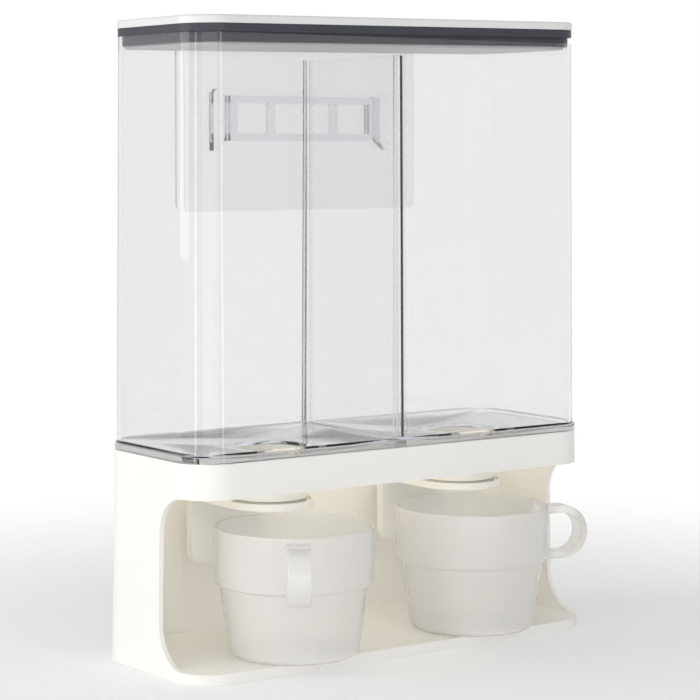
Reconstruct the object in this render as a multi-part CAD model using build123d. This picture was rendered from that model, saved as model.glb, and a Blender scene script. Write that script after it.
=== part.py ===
from build123d import *
import os
from math import atan, degrees, pi

# Twin cereal dispenser: a white base with two cup bays, a clear two-compartment container standing
# on it, a sealed lid, two push levers with gates, two stacking cups and a stick-on wall hook.
# Millimetres. X runs to the right, Y runs back to the wall, Z is up, and the origin is on the
# table under the middle of the base. The front faces -Y.

os.makedirs("parts", exist_ok=True)

# ---------------------------------------------------------------- overall sizes
seat_width = 270.0        # width of the base's top and of the container's flange
seat_depth = 100.0        # depth of the same outline
corner_radius = 22.0      # upright corners of that outline
container_height = 224.0  # deck to the container's rim
base_flare = 2.0          # how far the base's foot stands out past its top, on every side

# ---------------------------------------------------------------- base housing
foot_gap = 0.0            # housing's rim above the table; the pads are pressed level with it
base_wall = 2.6
deck_thickness = 2.6
floor_top = 6.0
floor_thickness = 2.4
floor_rib = 1.6
fascia_height = 19.0
side_wall_front = -14.0   # front edge of the side walls between floor and fascia
opening_top_radius = 20.0
opening_foot_radius = 24.0
housing_edge_radius = 0.8
pad_radius = 6.0
pad_thickness = 1.8
pad_inset = 24.0          # pad centre in from the seat outline
pad_boss_wall = 2.0
buffer_radius = 7.0
buffer_height = 14.0
buffer_spacing = 200.0
buffer_recess = 1.1
wall_gap = 3.7            # seat outline to the wall plane behind the dispenser
gate_room = 40.0          # cups' rims to the deck's top, for the gates and funnels between them

# ---------------------------------------------------------------- outlets, one in each compartment
bay_x = 66.0              # middle of each compartment and lever, either side of the centre
outlet_y = -14.0
outlet_radius = 20.0
collar_wall = 2.0
collar_length = 10.0      # container's collars below the deck's top
funnel_clearance = 1.0    # container's collar to the funnel round it
funnel_wall = 1.8
funnel_head_gap = 0.4     # deck's underside to the funnel's head
funnel_neck_drop = 20.0   # deck's top to the narrow part
mouth_radius = 18.5
mouth_drop = 26.0         # deck's top to the funnel's mouth
ear_gap = 1.8             # funnel's wall to the bosses over its ears
ear_radius = 4.4
ear_thickness = 2.2
ear_drop = 12.0           # deck's top to the underside of the funnel's screw ears
screw_radius = 1.4
screw_head_radius = 2.7
screw_head_height = 1.9
screw_head_round = 0.76
screw_slot = 0.8          # width and depth of the driver slot
screw_length = 8.0
screw_pilot_depth = 6.5
seal_gap = 0.3
seal_drop = 1.0           # funnel's head to the seal's top
seal_height = 4.0

# ---------------------------------------------------------------- push levers
pivot_setback = 23.0      # seat outline's back edge to the pins
pivot_drop = 22.0         # deck's top to the pins
pin_radius = 1.5
pin_fit = 0.02            # pin to the housing's ears
pin_running = 0.05        # pin to the lever's barrel
barrel_radius = 3.6
barrel_shoulder = 1.3     # barrel past the wider of flap and paddle, at each end
pivot_ear_gap = 0.6
pivot_ear_thickness = 2.5
pivot_ear_radius = 6.0
pin_head_radius = 2.6
pin_head_thickness = 1.0
clip_radius = 3.6
clip_thickness = 0.7
pin_end = 0.8             # pin past its clip
lever_width = 46.0
lever_wall = 2.4
flap_margin = 4.0         # flap edge past the funnel's mouth
flap_lip_height = 1.3
flap_lip_wall = 1.2
gate_gap = 0.2            # seal to the funnel's mouth
gate_seal_thickness = 1.8
gate_seal_edge = 2.0      # seal past the mouth's bore
paddle_setback = 2.0      # pins to the paddle's front face
paddle_clearance = 2.9    # cup's step to the paddle's foot above it
paddle_corner = 6.0
paddle_rib_depth = 3.0    # flanges behind the paddle's sides and foot, and the rib between
paddle_rib_wall = 1.4
paddle_rib_drop = 8.0     # flap's underside to the ribs' heads
lug_width = 9.0
spring_wire = 0.4         # radius
spring_gap = 1.2          # barrel to the coil round it
spring_pitch = 1.4
spring_turns = 6
spring_leg_down = 17.0
spring_peg_radius = 2.0
spring_peg_length = 6.0
spring_peg_fit = 0.25
spring_peg_roof = 1.0     # deck left over the peg's hole
spring_leg_gap = 1.5      # deck to the end of the leg in that hole
lip_clearance = 3.0       # coil to the end of the flap's lip

# ---------------------------------------------------------------- container
flange_height = 4.0
flange_step = 1.2         # flange past the container's wall
container_wall = 1.8
container_draft = 1.8     # how much narrower each wall is at the rim than at the flange
hopper_edge = 5.0         # hopper floor's edge above the deck
hopper_fall = 2.8         # how far the floor falls from its edges to the outlet
hopper_skin = 2.2
hopper_border = 6.0
hopper_flat = 0.5         # flat floor past the collar, on each side of the outlet
hopper_ridge = 3.6        # half the ridge between the two compartments
groove_wall = 1.6
groove_depth = 3.6
groove_sink = 1.0         # feet of the groove ribs below the floor's edge
divider_thickness = 1.8
divider_gap = 0.3
divider_drop = 9.5        # divider's top below the rim

# ---------------------------------------------------------------- lid
gasket_flange = 4.4
lid_thickness = 4.4
lid_tilt = 0.8            # degrees; pressed down at its left end, a little proud at its right
lid_overhang = 0.5        # lid past the container's rim
lid_edge_radius = 1.2
gasket_inset = 0.3
plug_gap = 0.3            # gasket's plug to the container's wall
plug_depth = 5.3
gasket_wall = 2.2
gasket_edge_radius = 0.6
skirt_depth = 9.2
skirt_wall = 2.0
liner_thickness = 2.0
liner_inset = 0.1
liner_edge_radius = 0.65

# ---------------------------------------------------------------- cups
cup_left_x = -60.5
cup_right_x = 63.0
cup_y = -30.0
cup_height = 70.0
cup_rim_radius = 44.0
cup_band_radius = 43.3
cup_body_radius = 40.6
cup_foot_radius = 35.0
cup_band_height = 38.5    # foot to the step under the upper band
cup_step = 1.6
cup_foot_round = 4.0
cup_wall = 1.5
cup_floor = 1.8
handle_drop = 3.0         # cup's rim to the handle's top
handle_height = 31.0
handle_reach = 27.0       # handle past the cup's rim
handle_strap = 4.4
handle_width = 12.6
handle_round = 15.4
handle_edge_radius = 1.0
left_handle_turn = -122.0
right_handle_turn = -15.0

# ---------------------------------------------------------------- wall hook
sheet_width = 166.0
sheet_height = 100.0
sheet_drop = 96.0         # rim to the sheet's lower edge
sheet_thickness = 0.8
sheet_corner = 4.0
hanger_width = 124.0
hanger_drop = 61.5        # rim to the rails' lower ends
hanger_height = 35.0
hanger_bar = 3.4
hanger_corner = 4.0
rail_width = 8.0
rail_lip = 3.0
rail_lip_thickness = 1.9
rail_lead = 5.0           # chamfer that guides the hook into the rails
hook_gap = 0.4
hook_rise = 5.5           # rails' lower ends to the hook's
hook_border = 4.3
hook_rib_x = 22.5
hook_rib_width = 3.4

# ---------------------------------------------------------------- worked-out levels and places
base_height = floor_top + cup_height + gate_room
deck_underside = base_height - deck_thickness
fascia_foot = base_height - fascia_height
rim_height = base_height + container_height
lid_underside = rim_height + gasket_flange
collar_foot = base_height - collar_length
funnel_head = deck_underside - funnel_head_gap
funnel_neck = base_height - funnel_neck_drop
mouth_height = base_height - mouth_drop
ear_height = base_height - ear_drop
pivot_z = base_height - pivot_drop
collar_radius = outlet_radius + collar_wall
funnel_radius = collar_radius + funnel_clearance
ear_screw_spacing = 2 * (funnel_radius + funnel_wall + ear_gap + ear_radius)
hopper_square = collar_radius + hopper_flat
flap_top = mouth_height - gate_gap - gate_seal_thickness
flap_underside = flap_top - lever_wall
flap_radius = mouth_radius + funnel_wall + flap_margin
barrel_length = max(lever_width, 2 * flap_radius) + 2 * barrel_shoulder
pivot_y = seat_depth / 2 - pivot_setback
paddle_front = pivot_y + paddle_setback
paddle_foot = floor_top + cup_band_height + cup_step + paddle_clearance
spring_radius = barrel_radius + spring_gap + spring_wire
wall_plane = seat_depth / 2 + wall_gap
sheet_front = wall_plane - sheet_thickness
divider_top = rim_height - divider_drop
sheet_foot = rim_height - sheet_drop
hanger_foot = rim_height - hanger_drop
hook_foot = hanger_foot + hook_rise
pin_reach = barrel_length / 2 + pivot_ear_gap + pivot_ear_thickness
spring_lean = spring_pitch / (2 * pi * spring_radius)


def tapered_slab(width, depth, radius, low, high, low_grow, high_grow):
    """Upright block with rounded corners whose outline grows by a different amount at each end."""
    outline = RectangleRounded(width + 2 * low_grow, depth + 2 * low_grow, radius + low_grow)
    slope = degrees(atan((low_grow - high_grow) / (high - low)))
    return extrude(Plane.XY.offset(low) * outline, amount=high - low, taper=slope)


def base_growth(height):
    """How far the base stands out past the seat outline at a height."""
    return base_flare * (base_height - height) / (base_height - foot_gap)


def base_slab(inset, low, high):
    """Slice of the base's flared block, moved in from its outside."""
    return tapered_slab(seat_width, seat_depth, corner_radius, low, high,
                        base_growth(low) - inset, base_growth(high) - inset)


def container_shrink(height):
    """How far the container's wall stands in from the seat outline at a height."""
    climb = (height - base_height - flange_height) / (container_height - flange_height)
    return flange_step + container_draft * climb


def container_slab(inset, low, high):
    """Slice of the container's tapered block, moved in from its outside."""
    return tapered_slab(seat_width, seat_depth, corner_radius, low, high,
                        -container_shrink(low) - inset, -container_shrink(high) - inset)


def rim_slab(inset, low, high):
    """Straight block on the outline of the container's rim, moved in from its outside."""
    shrink = container_shrink(rim_height) + inset
    return tapered_slab(seat_width, seat_depth, corner_radius, low, high, -shrink, -shrink)


def block(x0, x1, y0, y1, z0, z1):
    """Plain box between two corners."""
    return Pos((x0 + x1) / 2, (y0 + y1) / 2, (z0 + z1) / 2) * Box(x1 - x0, y1 - y0, z1 - z0)


def rod(x, y, low, high, radius):
    """Upright round bar."""
    return Pos(x, y, (low + high) / 2) * Cylinder(radius, high - low)


def cross_rod(x0, x1, y, z, radius):
    """Round bar along X."""
    return Pos((x0 + x1) / 2, y, z) * Rot(0, 90, 0) * Cylinder(radius, x1 - x0)


def frustum(centre_x, centre_y, half_x, half_y, low, edges, high):
    """Pyramid stump from a square at its foot to a rectangle of four edges at its head."""
    x0, x1, y0, y1 = edges
    foot = Pos(centre_x, centre_y, low) * Rectangle(2 * half_x, 2 * half_y)
    head = Pos((x0 + x1) / 2, (y0 + y1) / 2, high) * Rectangle(x1 - x0, y1 - y0)
    return loft(Sketch() + [foot, head], ruled=True)


def mirrored_pair(name, shape):
    """The same piece in each bay."""
    return {name + "_left": Pos(-bay_x, 0, 0) * shape, name + "_right": Pos(bay_x, 0, 0) * shape}


# ---------------------------------------------------------------- base
def side_opening():
    """Open front of the base: between floor and fascia, and round into both side walls."""
    height = fascia_foot - floor_top
    front = seat_depth
    section = Plane.YZ * Pos(side_wall_front - front / 2, floor_top + height / 2) * Rectangle(front, height)
    back_corners = section.vertices().group_by(Axis.Y)[-1].sort_by(Axis.Z)
    section = fillet([back_corners[0]], opening_foot_radius)
    top_corner = section.vertices().sort_by(Axis.Z)[-2:].sort_by(Axis.Y)[-1]
    section = fillet([top_corner], opening_top_radius)
    return extrude(section, amount=seat_width, both=True)


def pad_places():
    reach_x = seat_width / 2 - pad_inset
    reach_y = seat_depth / 2 - pad_inset
    return [(sx * reach_x, sy * reach_y) for sx in (-1, 1) for sy in (-1, 1)]


def buffer_places():
    return [-buffer_spacing / 2, buffer_spacing / 2]


def under_floor_void():
    """Hollow under the floor, with bosses for the pads and cross ribs left standing."""
    ceiling = floor_top - floor_thickness
    void = base_slab(base_wall, foot_gap, ceiling)
    for x, y in pad_places():
        void -= rod(x, y, foot_gap, ceiling, pad_radius + pad_boss_wall)
    for x in (-bay_x, 0, bay_x):
        void -= block(x - floor_rib / 2, x + floor_rib / 2, -seat_depth, seat_depth, foot_gap, ceiling)
    return void


def pivot_ear(x):
    """Ear hanging from the deck that holds one end of a lever's pin."""
    plate = block(x, x + pivot_ear_thickness, pivot_y - pivot_ear_radius, pivot_y + pivot_ear_radius,
                  pivot_z, deck_underside)
    return plate + cross_rod(x, x + pivot_ear_thickness, pivot_y, pivot_z, pivot_ear_radius)


def make_base_housing():
    shell = base_slab(0, foot_gap, base_height)
    shell = fillet(shell.edges().group_by(Axis.Z)[-1], housing_edge_radius)
    shell = fillet(shell.edges().group_by(Axis.Z)[0], housing_edge_radius)
    shell -= base_slab(base_wall, floor_top, deck_underside)
    shell -= side_opening()
    shell -= under_floor_void()
    ear_reach = barrel_length / 2 + pivot_ear_gap
    boss_foot = ear_height + ear_thickness
    spring_half = spring_pitch * spring_turns / 2
    for side in (-bay_x, bay_x):
        shell -= rod(side, outlet_y, deck_underside, base_height, funnel_radius)
        shell += pivot_ear(side + ear_reach)
        shell += pivot_ear(side - ear_reach - pivot_ear_thickness)
        shell -= cross_rod(side - pin_reach, side + pin_reach, pivot_y, pivot_z, pin_radius + pin_fit)
        for x in (side - ear_screw_spacing / 2, side + ear_screw_spacing / 2):
            shell += rod(x, outlet_y, boss_foot, deck_underside, ear_radius)
            shell -= rod(x, outlet_y, boss_foot, boss_foot + screw_pilot_depth, screw_radius)
        peg_y = pivot_y + spring_radius
        peg_foot = deck_underside - spring_peg_length
        peg_x = side + spring_half + spring_lean * (peg_foot + spring_peg_length / 2 - pivot_z)
        shell += rod(peg_x, peg_y, peg_foot, deck_underside, spring_peg_radius)
        shell -= rod(peg_x, peg_y, peg_foot, deck_underside - spring_peg_roof, spring_wire + spring_peg_fit)
    for x, y in pad_places():
        shell -= rod(x, y, foot_gap, pad_thickness, pad_radius)
    back_face = seat_depth / 2 + base_growth(buffer_height)
    for x in buffer_places():
        recess = Pos(x, back_face, buffer_height) * Rot(90, 0, 0)
        shell -= recess * Cylinder(buffer_radius, 2 * buffer_recess)
    return shell


def make_foot_pads():
    pads = Part()
    for x, y in pad_places():
        pads += rod(x, y, 0, pad_thickness, pad_radius)
    return pads


def make_wall_buffers():
    """Two soft buttons that hold the base's foot off the wall, level with the hook's sheet."""
    inner = seat_depth / 2 + base_growth(buffer_height) - buffer_recess
    button = Plane.XZ.offset(-wall_plane) * Circle(buffer_radius)
    button = extrude(button, amount=wall_plane - inner)
    buttons = Part()
    for x in buffer_places():
        buttons += Pos(x, 0, buffer_height) * button
    return buttons


# ---------------------------------------------------------------- outlets
def make_outlet_funnel():
    """White funnel screwed under the deck, wide round the container's collar, narrow at the gate."""
    shoulder = ear_height
    outside = [(mouth_radius + funnel_wall, mouth_height), (mouth_radius + funnel_wall, funnel_neck),
               (funnel_radius + funnel_wall, shoulder), (funnel_radius + funnel_wall, funnel_head)]
    inside = [(funnel_radius, funnel_head), (funnel_radius, shoulder),
              (mouth_radius, funnel_neck), (mouth_radius, mouth_height)]
    ring = revolve(Plane.XZ * make_face(Polyline(*outside, *inside, close=True)), Axis.Z)
    ears = SlotCenterToCenter(ear_screw_spacing, 2 * ear_radius) - Circle(funnel_radius)
    ears = extrude(Plane.XY.offset(ear_height) * ears, amount=ear_thickness)
    funnel = Pos(0, outlet_y, 0) * (ring + ears)
    for x in (-ear_screw_spacing / 2, ear_screw_spacing / 2):
        funnel -= rod(x, outlet_y, ear_height, ear_height + ear_thickness, screw_radius)
    return funnel


def make_outlet_seal():
    """Soft ring in the funnel's head that the container's collar drops through."""
    top = funnel_head - seal_drop
    ring = Circle(funnel_radius) - Circle(collar_radius + seal_gap)
    return Pos(0, outlet_y, 0) * extrude(Plane.XY.offset(top - seal_height) * ring, amount=seal_height)


def make_funnel_screws():
    screws = Part()
    for side in (-bay_x, bay_x):
        for x in (side - ear_screw_spacing / 2, side + ear_screw_spacing / 2):
            head = rod(x, outlet_y, ear_height - screw_head_height, ear_height, screw_head_radius)
            head = fillet(head.edges().group_by(Axis.Z)[0], screw_head_round)
            slot = block(x - screw_head_radius, x + screw_head_radius, outlet_y - screw_slot / 2,
                         outlet_y + screw_slot / 2, ear_height - screw_head_height,
                         ear_height - screw_head_height + screw_slot)
            screws += head + rod(x, outlet_y, ear_height, ear_height + screw_length, screw_radius) - slot
    return screws


# ---------------------------------------------------------------- levers, modelled in a bay at x = 0
def flap_outline(inset):
    """Tongue-shaped plate under the funnel's mouth, round at the front."""
    reach = paddle_front + lever_wall - outlet_y
    width = 2 * flap_radius - 2 * inset
    tongue = Pos(0, outlet_y + reach / 2) * Rectangle(width, reach)
    return tongue + Pos(0, outlet_y) * Circle(flap_radius - inset)


def paddle_outline(inset, head):
    """Front view of the paddle, round at its lower corners, moved in at its sides and foot."""
    foot = paddle_foot + inset
    outline = Pos(0, (foot + head) / 2) * Rectangle(lever_width - 2 * inset, head - foot)
    return fillet(outline.vertices().group_by(Axis.Y)[0], paddle_corner - inset)


def make_push_lever():
    """One moulding: barrel on the pin, flap that carries the seal, and the paddle the cup pushes."""
    flap = extrude(Plane.XY.offset(flap_underside) * flap_outline(0), amount=lever_wall)
    lip = flap_outline(0) - flap_outline(flap_lip_wall)
    lip = extrude(Plane.XY.offset(flap_top) * lip, amount=flap_lip_height)
    lip_end = pivot_y - spring_radius - lip_clearance
    lip -= block(-seat_width, seat_width, lip_end, seat_depth, flap_top, base_height)
    paddle_back = paddle_front + lever_wall
    rib_back = paddle_back + paddle_rib_depth
    tray = extrude(Plane.XZ.offset(-rib_back) * paddle_outline(0, flap_top), amount=rib_back - paddle_front)
    hollow = Plane.XZ.offset(-rib_back) * paddle_outline(paddle_rib_wall, base_height)
    tray -= extrude(hollow, amount=paddle_rib_depth)
    lever = flap + lip + tray
    lever += block(-paddle_rib_wall / 2, paddle_rib_wall / 2, paddle_back, rib_back, paddle_foot,
                   flap_underside - paddle_rib_drop)
    for side in (-1, 1):
        x = side * (lever_width / 2 - lug_width / 2)
        lever += block(x - lug_width / 2, x + lug_width / 2, pivot_y - barrel_radius,
                       pivot_y + barrel_radius, flap_underside, pivot_z)
    lever += cross_rod(-barrel_length / 2, barrel_length / 2, pivot_y, pivot_z, barrel_radius)
    lever -= cross_rod(-barrel_length / 2, barrel_length / 2, pivot_y, pivot_z, pin_radius + pin_running)
    return lever


def make_gate_seal():
    """Soft disc on the flap that closes the funnel's mouth, raised where the mouth meets it."""
    return rod(0, outlet_y, flap_top, flap_top + gate_seal_thickness, mouth_radius + gate_seal_edge)


def make_pivot_pin():
    shank = cross_rod(-pin_reach - clip_thickness - pin_end, pin_reach, pivot_y, pivot_z, pin_radius)
    head = cross_rod(pin_reach, pin_reach + pin_head_thickness, pivot_y, pivot_z, pin_head_radius)
    return shank + head


def make_pin_clips():
    """Push-on clips that keep the two pins in their ears."""
    clips = Part()
    for side in (-bay_x, bay_x):
        outer = side - pin_reach
        clip = cross_rod(outer - clip_thickness, outer, pivot_y, pivot_z, clip_radius)
        clips += clip - cross_rod(outer - clip_thickness, outer, pivot_y, pivot_z, pin_radius)
    return clips


def make_torsion_spring():
    """One wire: a leg behind the paddle, the coil round the barrel, a leg up into the deck's peg."""
    half = spring_pitch * spring_turns / 2
    coil_plane = Plane(origin=(-half, pivot_y, pivot_z), x_dir=(0, 1, 0), z_dir=(1, 0, 0))
    coil = coil_plane * Helix(spring_pitch, 2 * half, spring_radius)
    lower_leg = Line(coil @ 0 - coil % 0 * spring_leg_down, coil @ 0)
    upper_leg = Line(coil @ 1, coil @ 1 + coil % 1 * (deck_underside - spring_leg_gap - pivot_z))
    wire = Wire([lower_leg, coil, upper_leg])
    section = Plane(origin=wire @ 0, z_dir=wire % 0) * Circle(spring_wire)
    return sweep(section, path=wire)


# ---------------------------------------------------------------- container
def hopper_edges(side, inset_x, inset_y, ridge):
    """Edges of one compartment's floor, in order of x, then y."""
    far = seat_width / 2 - inset_x
    reach_y = seat_depth / 2 - inset_y
    x_edges = (ridge, far) if side > 0 else (-far, -ridge)
    return (*x_edges, -reach_y, reach_y)


def make_container_shell():
    flange_top = base_height + flange_height
    floor_edge = base_height + hopper_edge
    floor_low = floor_edge - hopper_fall
    shell = tapered_slab(seat_width, seat_depth, corner_radius, base_height, flange_top, 0, 0)
    shell = fillet(shell.edges().group_by(Axis.Z)[-1], housing_edge_radius)
    shell += container_slab(0, flange_top, rim_height)
    shell -= container_slab(container_wall, floor_edge, rim_height)
    inside = container_slab(container_wall, flange_top - hopper_fall, floor_edge)
    wall_inset = container_shrink(flange_top) + container_wall
    for side in (-1, 1):
        x = side * bay_x
        top_edges = hopper_edges(side, wall_inset, wall_inset, hopper_ridge)
        dish = frustum(x, outlet_y, hopper_square, hopper_square, floor_low, top_edges, floor_edge)
        shell -= dish & inside
        under_edges = hopper_edges(side, hopper_border, hopper_border, hopper_ridge)
        under_top = floor_edge - hopper_skin
        void = block(*under_edges, base_height, under_top)
        void -= frustum(x, outlet_y, hopper_square, hopper_square, base_height, under_edges, under_top)
        shell -= void
        shell += rod(x, outlet_y, collar_foot, floor_low, collar_radius)
        shell -= rod(x, outlet_y, collar_foot, floor_edge, outlet_radius)
    rails = Part()
    reach = seat_depth / 2 - container_shrink(rim_height) - container_wall
    slot = divider_thickness / 2 + divider_gap
    for side_x in (-1, 1):
        for side_y in (-1, 1):
            x0, x1 = sorted((side_x * slot, side_x * (slot + groove_wall)))
            y0, y1 = sorted((side_y * (reach - groove_depth), side_y * seat_depth / 2))
            rails += block(x0, x1, y0, y1, floor_edge - groove_sink, divider_top)
    shell += rails & container_slab(container_wall / 2, floor_edge - groove_sink, rim_height)
    return shell


def make_hanger_frame():
    """Frame welded on the container's back, open at its foot, whose lipped rails slide over the hook."""
    top = hanger_foot + hanger_height
    half = hanger_width / 2
    skin = seat_depth / 2 - container_shrink(hanger_foot) - container_wall / 2
    back = sheet_front - hook_gap
    opening = hanger_width - 2 * rail_width
    frame = block(-half, half, skin, back, hanger_foot, top)
    frame = fillet(frame.edges().filter_by(Axis.Y).group_by(Axis.Z)[-1], hanger_corner)
    frame -= block(-opening / 2, opening / 2, skin, back, hanger_foot, top - hanger_bar)
    lips = block(-opening / 2, opening / 2, back - rail_lip_thickness, back, hanger_foot, top - hanger_bar)
    lips -= block(-opening / 2 + rail_lip, opening / 2 - rail_lip, skin, back, hanger_foot, top)
    frame += lips
    lead = Plane.XZ.offset(-back) * make_face(Polyline(
        (opening / 2 - rail_lip, hanger_foot), (opening / 2 + rail_lead, hanger_foot),
        (opening / 2 - rail_lip, hanger_foot + rail_lip + rail_lead), close=True))
    lead = extrude(lead, amount=back - skin)
    frame -= lead + mirror(lead, Plane.YZ)
    return frame - container_slab(0, base_height + flange_height, rim_height)


def make_divider_panel():
    """Clear wall between the compartments, dropped into the grooves before the lid goes on."""
    low = base_height + hopper_edge + divider_gap
    low_half = seat_depth / 2 - container_shrink(low) - container_wall - divider_gap
    top_half = seat_depth / 2 - container_shrink(divider_top) - container_wall - divider_gap
    corners = [(-low_half, low), (low_half, low), (top_half, divider_top), (-top_half, divider_top)]
    panel = make_face(Polyline(*corners, close=True))
    return extrude(Plane.YZ * panel, amount=divider_thickness / 2, both=True)


# ---------------------------------------------------------------- lid
def skirt_inset():
    """Outside of the lid's skirt, in from the rim's outline."""
    return container_wall + plug_gap + gasket_wall


def set_on_rim(piece):
    """Tips a piece of the lid about the left end of the container's rim."""
    left_end = seat_width / 2 - container_shrink(rim_height)
    return Pos(-left_end, 0, rim_height) * Rot(0, -lid_tilt, 0) * Pos(left_end, 0, -rim_height) * piece


def make_lid_cap():
    """White top with a skirt below it that the gasket is stretched over."""
    top = lid_underside + lid_thickness
    plate = rim_slab(-lid_overhang, lid_underside, top)
    plate = fillet(plate.edges().group_by(Axis.Z)[-1], lid_edge_radius)
    skirt = rim_slab(skirt_inset(), lid_underside - skirt_depth, lid_underside)
    skirt -= rim_slab(skirt_inset() + skirt_wall, lid_underside - skirt_depth, lid_underside)
    return set_on_rim(plate + skirt)


def make_lid_gasket():
    """Slate silicone ring: a flange that lies on the rim and a plug that fills the mouth."""
    ring = rim_slab(gasket_inset - lid_overhang, rim_height, lid_underside)
    ring = fillet(ring.edges().group_by(Axis.Z)[0], gasket_edge_radius)
    ring += rim_slab(container_wall + plug_gap, rim_height - plug_depth, rim_height)
    return set_on_rim(ring - rim_slab(skirt_inset(), rim_height - plug_depth, lid_underside))


def make_lid_liner():
    """Pale plate that closes the skirt's underside and keeps the gasket on."""
    skirt_foot = lid_underside - skirt_depth
    plate = rim_slab(skirt_inset() + liner_inset, skirt_foot - liner_thickness, skirt_foot)
    return set_on_rim(fillet(plate.edges().group_by(Axis.Z)[0], liner_edge_radius))


# ---------------------------------------------------------------- cups
def cup_profile(inset, low):
    """Half outline of the cup's outside, or of its hollow when moved in by the wall."""
    foot = floor_top + low
    step_foot = floor_top + cup_band_height
    step_head = step_foot + cup_step
    rim = floor_top + cup_height
    points = [(0, foot), (cup_foot_radius - inset, foot), (cup_body_radius - inset, step_foot),
              (cup_band_radius - inset, step_head), (cup_rim_radius - inset, rim), (0, rim)]
    face = make_face(Polyline(*points, close=True))
    corner = face.vertices().sort_by_distance((cup_foot_radius - inset, foot, 0))[0]
    return fillet([corner], cup_foot_round - inset / 2)


def make_cup(centre_x, turn):
    """Stacking cup moulded in one piece with its loop handle."""
    outside = revolve(Plane.XZ * cup_profile(0, 0), Axis.Z)
    hollow = revolve(Plane.XZ * cup_profile(cup_wall, cup_floor), Axis.Z)
    tip = cup_rim_radius + handle_reach
    root = cup_body_radius - cup_wall
    middle = floor_top + cup_height - handle_drop - handle_height / 2
    outer = Pos((root + tip) / 2, middle) * Rectangle(tip - root, handle_height)
    outer = fillet(outer.vertices().group_by(Axis.X)[-1], handle_round)
    inner_tip = tip - handle_strap
    inner_height = handle_height - 2 * handle_strap
    inner = Pos((root + inner_tip) / 2, middle) * Rectangle(inner_tip - root, inner_height)
    inner = fillet(inner.vertices().group_by(Axis.X)[-1], handle_round - handle_strap)
    handle = extrude(Plane.XZ * (outer - inner), amount=handle_width / 2, both=True)
    handle = fillet(handle.edges().filter_by(Axis.Z).group_by(Axis.X)[-1], handle_edge_radius)
    cup = outside + handle - hollow
    return Pos(centre_x, cup_y, 0) * Rot(0, 0, turn) * cup


# ---------------------------------------------------------------- wall hook
def make_hook_plate():
    """Ladder-shaped hook glued to the sheet; its stepped edges run in the container's rails."""
    opening = hanger_width / 2 - rail_width
    head = hanger_foot + hanger_height - hanger_bar - hook_gap
    front = seat_depth / 2 - container_shrink(hook_foot) + hook_gap
    step = sheet_front - hook_gap - rail_lip_thickness - hook_gap
    flange = block(-opening + hook_gap, opening - hook_gap, front, step, hook_foot, head)
    neck_half = opening - rail_lip - hook_gap
    plate = flange + block(-neck_half, neck_half, step, sheet_front, hook_foot, head)
    cell_edges = [-neck_half + hook_border, -hook_rib_x, hook_rib_x, neck_half - hook_border]
    for left, right in zip(cell_edges, cell_edges[1:]):
        x0 = left + (hook_rib_width / 2 if left in (-hook_rib_x, hook_rib_x) else 0)
        x1 = right - (hook_rib_width / 2 if right in (-hook_rib_x, hook_rib_x) else 0)
        plate -= block(x0, x1, front, sheet_front, hook_foot + hook_border, head - hook_border)
    return plate


def make_adhesive_sheet():
    """Thin clear sheet, sticky at the back, that holds the hook on the wall."""
    sheet = Pos(0, sheet_foot + sheet_height / 2) * RectangleRounded(sheet_width, sheet_height, sheet_corner)
    return extrude(Plane.XZ.offset(-wall_plane) * sheet, amount=sheet_thickness)


# ---------------------------------------------------------------- all pieces, one file each
pieces = {
    "base_housing": make_base_housing(),
    "foot_pads": make_foot_pads(),
    "wall_buffers": make_wall_buffers(),
    "funnel_screws": make_funnel_screws(),
    "pin_clips": make_pin_clips(),
    "container_shell": make_container_shell(),
    "hanger_frame": make_hanger_frame(),
    "divider_panel": make_divider_panel(),
    "lid_cap": make_lid_cap(),
    "lid_gasket": make_lid_gasket(),
    "lid_liner": make_lid_liner(),
    "cup_left": make_cup(cup_left_x, left_handle_turn),
    "cup_right": make_cup(cup_right_x, right_handle_turn),
    "hook_plate": make_hook_plate(),
    "adhesive_sheet": make_adhesive_sheet(),
}
pieces.update(mirrored_pair("outlet_funnel", make_outlet_funnel()))
pieces.update(mirrored_pair("outlet_seal", make_outlet_seal()))
pieces.update(mirrored_pair("push_lever", make_push_lever()))
pieces.update(mirrored_pair("gate_seal", make_gate_seal()))
pieces.update(mirrored_pair("pivot_pin", make_pivot_pin()))
pieces.update(mirrored_pair("torsion_spring", make_torsion_spring()))

for name, shape in pieces.items():
    shape.label = name
    export_step(shape, f"parts/{name}.step")
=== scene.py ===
from math import cos, hypot, pi, radians, sin
import bmesh
import bpy
from mathutils import Matrix, Vector


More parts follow.
